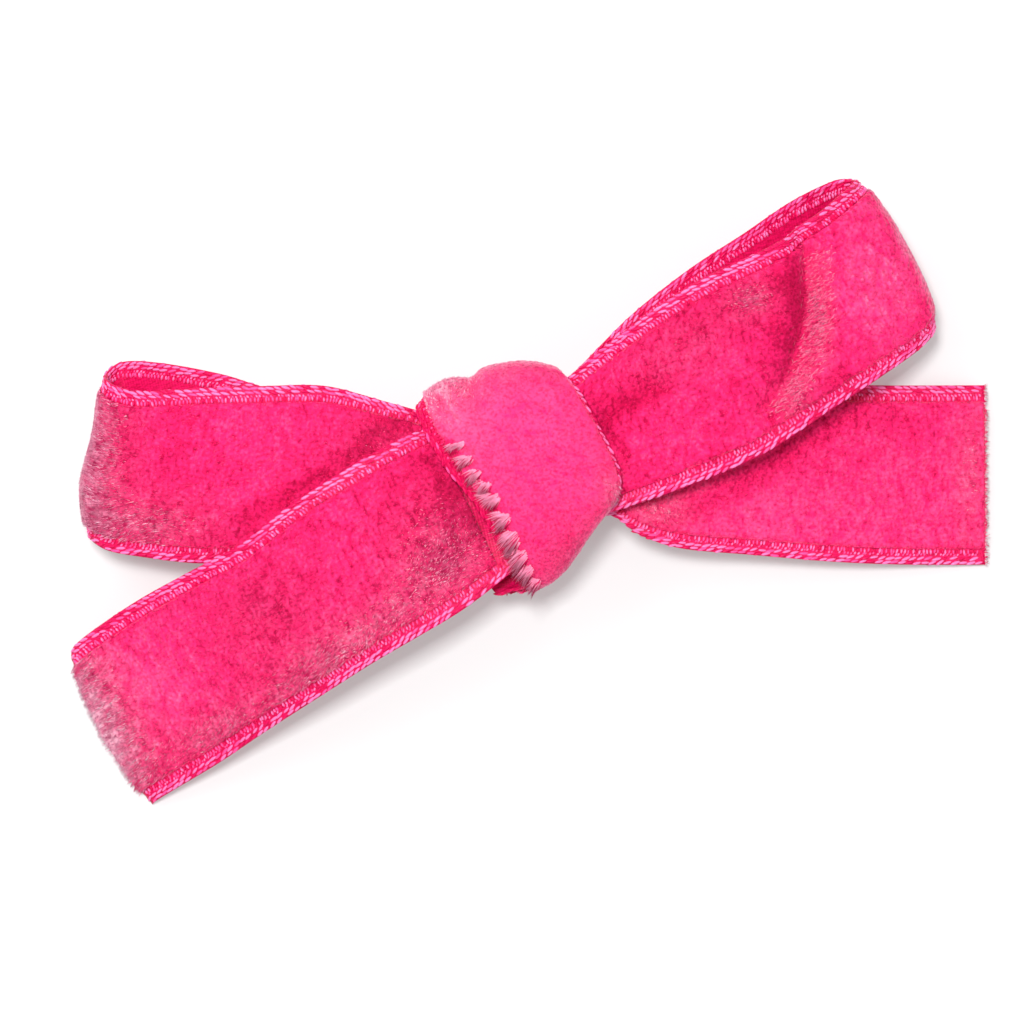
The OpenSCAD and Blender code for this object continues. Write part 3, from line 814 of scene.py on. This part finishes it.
KNOT = Strip([
    [-8.5, 0.5, 9.2, 9.0, 3.0, 9.2], [-8.8, 5.5, 9.3, 8.4, 7.0, 9.3],
    [-9.4, 10.6, 10.0, 7.6, 10.6, 10.0], [-9.8, 12.2, 12.2, 7.6, 12.0, 12.2],
    [-10.2, 12.4, 14.2, 8.4, 12.0, 14.4], [-10.3, 11.2, 16.2, 9.4, 10.8, 16.4],
    [-9.8, 8.6, 17.4, 10.6, 8.2, 17.8], [-8.6, 4.6, 17.9, 11.9, 3.2, 18.3],
    [-6.9, 1.0, 18.0, 12.6, -0.6, 18.1], [-5.5, -2.4, 17.8, 12.4, -3.0, 17.8],
    [-4.4, -6.4, 17.0, 11.0, -4.4, 16.6], [-3.2, -9.8, 15.3, 7.6, -6.0, 14.8],
    [-2.3, -12.2, 13.2, 3.4, -7.6, 12.8], [-4.2, -12.6, 11.2, 1.4, -9.6, 11.0],
    [-6.6, -11.6, 10.0, 3.2, -8.6, 9.6], [-8.5, 0.5, 9.2, 9.0, 3.0, 9.2],
], 1, knot_relief, seed=15, puckers=KNOT_PUCKERS, mottle=0.1, light=0.32, rough=0.45, smooth=[
    # Painted highlight on the lower right rim at (5.0, -8.8).
    (2.0, -4.0, 5.0, 5.0, 0, -0.1), (-6.0, 11.0, 6.0, 5.0, 0, 0.15), (5.0, -8.8, 6.0, 1.8, 32, 0.3),
], combed=[
    # Painted sheen on the top rims at (-7.8, 12.6) and (1.5, 13.4), and on the lower right rim at (4.4,
    # -8.8).
    (-7.8, 12.6, 4.5, 3.0, 10, 0.7), (1.5, 13.4, 9.0, 2.6, 0, 0.45), (-5.0, 7.0, 3.0, 4.0, 0, 0.15),
    (4.4, -8.8, 6.0, 1.8, 32, 0.7), (11.0, -4.4, 1.6, 4.0, 0, 0.5),
])


def ribbon(name, strip, start, end_gap, seed, lean, fibres_from=0.0):
    """All the pieces of one strip: ground, pile, fibres and selvedge.

    The pile runs from start to end_gap before the strip's end. A loop's fibres start only at the share
    fibres_from of its length, because its back can't be seen.
    """
    limit = 1 - SELVEDGE / HALF_W
    across, stop = (-limit, limit), strip.length - end_gap
    fibres_start = max(start, strip.length * fibres_from)
    ground = ground_piece(name + "_ground", strip, name)
    pile = pile_piece(name + "_pile", strip, (start, stop), across, seed, PILE_STEP)
    fibres = fibre_piece(name + "_fibres", strip, (fibres_start, stop), across, FIBRES_PER_MM2, seed + 1,
                         lean)
    edge = selvedge_piece(name + "_selvedge", strip, seed + 2)


def cut_fray(strip):
    """Frayed, sealed threads along the straight cut of the right tail."""
    rng = np.random.default_rng(71)
    count = FRAYED_THREADS
    t = rng.uniform(-1, 1, count)
    s = np.full(count, strip.length - 0.12)
    along, across, out = strip.directions(s, t)
    base = strip.point(s, t, rng.uniform(-0.12, 0.6, count))
    way = along + across * rng.normal(0, 0.45, (count, 1)) + out * rng.normal(0, 0.3, (count, 1))
    verts, faces = spikes(base, base + unit(way) * rng.uniform(0.25, 0.85, (count, 1)),
                          rng.uniform(0.05, 0.09, count))
    piece = make_mesh("right_tail_fray", verts, faces, [MATERIALS["fray"], FIBRE_TONES[2]],
                      np.tile(rng.integers(0, 2, count), 3))


def knot_tufts(strip):
    """Brushes of long pile side by side, squeezed out over the knot's left edge."""
    rng = np.random.default_rng(81)
    centres = (np.arange(KNOT_PUCKERS) + 0.25) * strip.length / KNOT_PUCKERS
    _, y, z = strip.base(centres, np.full(KNOT_PUCKERS, -0.85)).T
    kept = (y > -11.6) & (y < 6.5) & (z > 13)  # the front of the band's top
    centres, y = centres[kept], y[kept]
    grown = np.where(y < -10.5, 0.7, np.clip(1.1 - (y + 8) / 16, 0.45, 1.0))  # shorter towards the back
    count = TUFT_FIBRES * len(centres)
    turn = rng.uniform(-1, 1, count)
    grown = np.repeat(grown * rng.uniform(0.85, 1.1, len(centres)), TUFT_FIBRES)
    s = np.repeat(centres + rng.normal(0, 0.12, len(centres)), TUFT_FIBRES) + 0.6 * turn * grown
    t = rng.uniform(-0.76, -0.6, count)
    along, _, out = strip.directions(s, t)
    outward = unit(strip.point(s, t, np.zeros(count)) - strip.point(s, t + 0.1, np.zeros(count)))
    base = strip.point(s, t, GROUND_T / 2 + PILE_H * rng.uniform(0.75, 1.25, count))
    way = (outward + out * rng.uniform(0.3, 0.65, (count, 1))
           + along * (np.repeat(rng.uniform(0.45, 0.75, len(centres)), TUFT_FIBRES) + 0.38 * turn
                      + rng.normal(0, 0.06, count))[:, None])
    long = rng.uniform(2.0, 3.6, count) * grown * (1 - 0.25 * turn ** 2)
    verts, faces = spikes(base, base + unit(way) * long[:, None], rng.uniform(0.1, 0.16, count))
    # Fibres on one flank of each brush take the dark tone: painted shade between the brushes.
    tone = np.where(turn > rng.uniform(0.5, 1.1, count), 2, rng.choice(3, count, p=[0.48, 0.36, 0.16]))
    materials = [MATERIALS["tuft"], FIBRE_TONES[4], FIBRE_TONES[1]]
    piece = make_mesh("knot_tufts", verts, faces, materials, np.tile(tone, 3))
    return piece


def crease_fibres(strip):
    """Pile that the right loop's crease parts, leaning over its steep side."""
    rng = np.random.default_rng(91)
    line = smooth_rows([[42.6, 19.0], [41.4, 13.5], [40.0, 9.5], [37.6, 5.4], [33.6, 1.6]], 12)
    count = CREASE_FIBRES
    spots = line[rng.integers(0, len(line), count)] + rng.normal(0, 0.4, (count, 2))
    spots[:, 0] += rng.uniform(-0.6, 2.4, count)
    s, t = np.meshgrid(np.linspace(strip.length * 0.56, strip.length * 0.86, 160),
                       np.linspace(-0.8, 0.8, 60), indexing="ij")
    s, t = s.ravel(), t.ravel()
    plan = strip.shaped(s, t)[:, :2]
    nearest = np.array([np.argmin(((plan - spot) ** 2).sum(axis=1)) for spot in spots])
    s, t = s[nearest] + rng.normal(0, 0.15, count), t[nearest] + rng.normal(0, 0.01, count)
    along, across, out = strip.directions(s, t)
    near_place = clumps(s, t * HALF_W, CLUMP, strip.seed)[1]
    base = strip.point(s, t, np.full(count, GROUND_T / 2 + PILE_H * 0.6))
    way = (out * 0.7 + along * rng.uniform(0.6, 1.1, (count, 1))
           + across * ((near_place - t * HALF_W) + rng.normal(0, 0.15, count))[:, None])
    verts, faces = spikes(base, base + unit(way) * rng.uniform(0.8, 1.4, (count, 1)),
                          rng.uniform(0.06, 0.09, count))
    tone = rng.choice(3, count, p=[0.25, 0.5, 0.25])
    piece = make_mesh("right_loop_parting", verts, faces, FIBRE_TONES[2:5], np.tile(tone, 3))


def knot():
    """The folded band round the middle, with its brushes of squeezed pile."""
    ground = ground_piece("knot_ground", KNOT, "knot_wrap")
    along, across = (KNOT.length * 0.04, KNOT.length * 0.9), (KNOT_LEFT, KNOT_RIGHT)
    pile = pile_piece("knot_pile", KNOT, along, across, 301, KNOT_PILE_STEP)
    fibres = fibre_piece("knot_fibres", KNOT, along, across, KNOT_FIBRES_PER_MM2, 302, (0.1, 0.05))
    left = selvedge_piece("knot_selvedge_left", KNOT, 303, (1,), (-1,), light=0.0, deep=0.85, ticks=0.0)
    right = selvedge_piece("knot_selvedge_right", KNOT, 304, (1,), (1,), light=0.8, rows=1)
    knot_tufts(KNOT)


def binding_thread():
    """Turns of twisted thread round the gathered ribbon, hidden under the knot."""
    verts, faces, offset = [], [], 0
    mid_z, half_z = (THREAD_LOW + THREAD_HIGH) / 2, (THREAD_HIGH - THREAD_LOW) / 2
    u = np.linspace(0, 2 * np.pi, THREAD_POINTS, endpoint=False)
    y = THREAD_HALF_Y * np.sign(np.cos(u)) * np.abs(np.cos(u)) ** CORNER_POWER
    z = mid_z + half_z * np.sign(np.sin(u)) * np.abs(np.sin(u)) ** CORNER_POWER
    angle = 2 * np.pi * np.arange(THREAD_SIDES) / THREAD_SIDES
    i, k = np.meshgrid(np.arange(THREAD_POINTS), np.arange(THREAD_SIDES), indexing="ij")
    here, after = i * THREAD_SIDES, (i + 1) % THREAD_POINTS * THREAD_SIDES
    beside = (k + 1) % THREAD_SIDES
    quads = np.stack([here + k, here + beside, after + beside, after + k], axis=-1).reshape(-1, 4)
    for turn in range(THREAD_TURNS):
        for strand in range(THREAD_STRANDS):
            twist = TWISTS * u + strand * np.pi
            x = (turn - 1) * TURN_PITCH + STRAND_OFFSET * np.cos(twist)
            centre = np.stack([x, y, z + STRAND_OFFSET * np.sin(twist)], axis=1)
            along = unit(np.roll(centre, -1, axis=0) - np.roll(centre, 1, axis=0))
            first = unit(np.cross(along, [[1.0, 0.0, 0.0]]))
            second = np.cross(along, first)
            ring = centre[:, None] + THREAD_RADIUS * (first[:, None] * np.cos(angle)[None, :, None]
                                                      + second[:, None] * np.sin(angle)[None, :, None])
            verts.append(ring.reshape(-1, 3))
            faces.append(quads + offset)
            offset += THREAD_POINTS * THREAD_SIDES
    piece = make_mesh("thread_turns", np.vstack(verts), np.vstack(faces), [MATERIALS["thread"]])
    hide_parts("binding_thread")


def steel_clip():
    """Each steel node keeps its CAD shape and gets its own finish."""
    finishes = {
        "base_plate": (0.66, "x"), "clasp_arm": (0.7, "x"), "tension_bar": (0.62, "x"),
        "clasp_body": (0.6, "y"), "clasp_rivet": (0.74, "z"), "hinge_pin": (0.7, "y"),
        "front_wing": (0.64, "z"), "back_wing": (0.64, "z"),
    }
    for node, (tone, along) in finishes.items():
        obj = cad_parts[node]
        mat = steel_material("steel_" + node, tone, along)
        if not obj.material_slots:
            obj.data.materials.append(mat)
        for slot in obj.material_slots:
            slot.link = "OBJECT"
            slot.material = mat


camera()
stage()
studio_light()
steel_clip()
binding_thread()
ribbon("right_tail", RIGHT_TAIL, 9, 0.1, 101, (0.1, 0.0))
cut_fray(RIGHT_TAIL)
ribbon("left_loop", LEFT_LOOP, 9, 7, 111, (-0.35, 0.05), fibres_from=0.36)
ribbon("right_loop", RIGHT_LOOP, 9, 8, 121, (-0.15, 0.05), fibres_from=0.4)
crease_fibres(RIGHT_LOOP)
ribbon("left_tail", LEFT_TAIL, 7, 0.1, 131, (0.35, 0.0))
knot()
